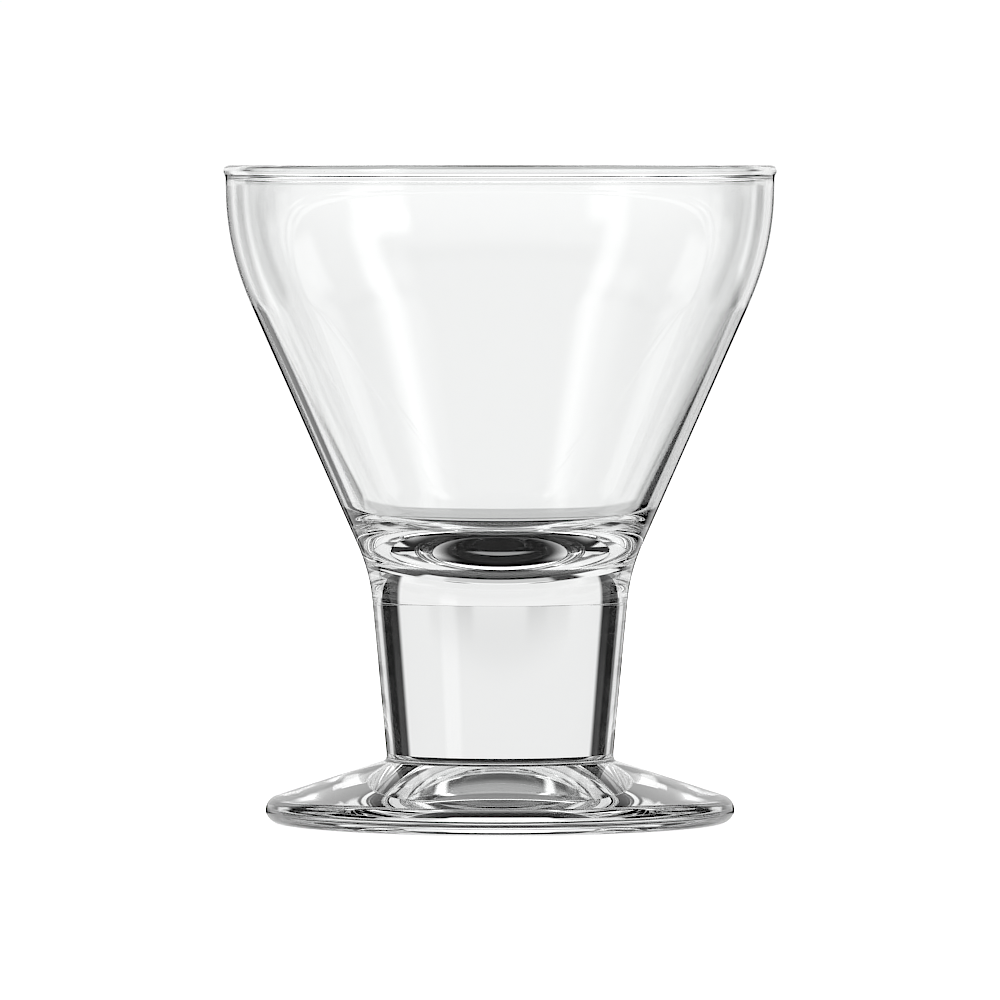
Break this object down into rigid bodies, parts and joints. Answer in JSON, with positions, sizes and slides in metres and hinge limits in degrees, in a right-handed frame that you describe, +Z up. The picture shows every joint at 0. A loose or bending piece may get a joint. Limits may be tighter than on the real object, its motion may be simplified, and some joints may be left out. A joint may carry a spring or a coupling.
{
  "type": "footed dessert glass",
  "caption": "Clear footed parfait glass: a flared bowl with a beaded rim and a heavy dished floor, fused to a thick solid stem on a round foot.",
  "frame": {"origin": "centre of the ring that the foot rests on, on the table", "axes": "+Z up along the glass's axis of revolution, from the foot to the rim; +X and +Y are free, because the glass is round"},
  "size_m": [0.0866, 0.0866, 0.103],
  "materials": {
    "blown_glass": "clear, fire polished",
    "pressed_glass": "clear, fire polished"
  },
  "bodies": {
    "root": {"bowl": "blown_glass", "stem": "pressed_glass", "foot": "pressed_glass"}
  },
  "joints": []
}
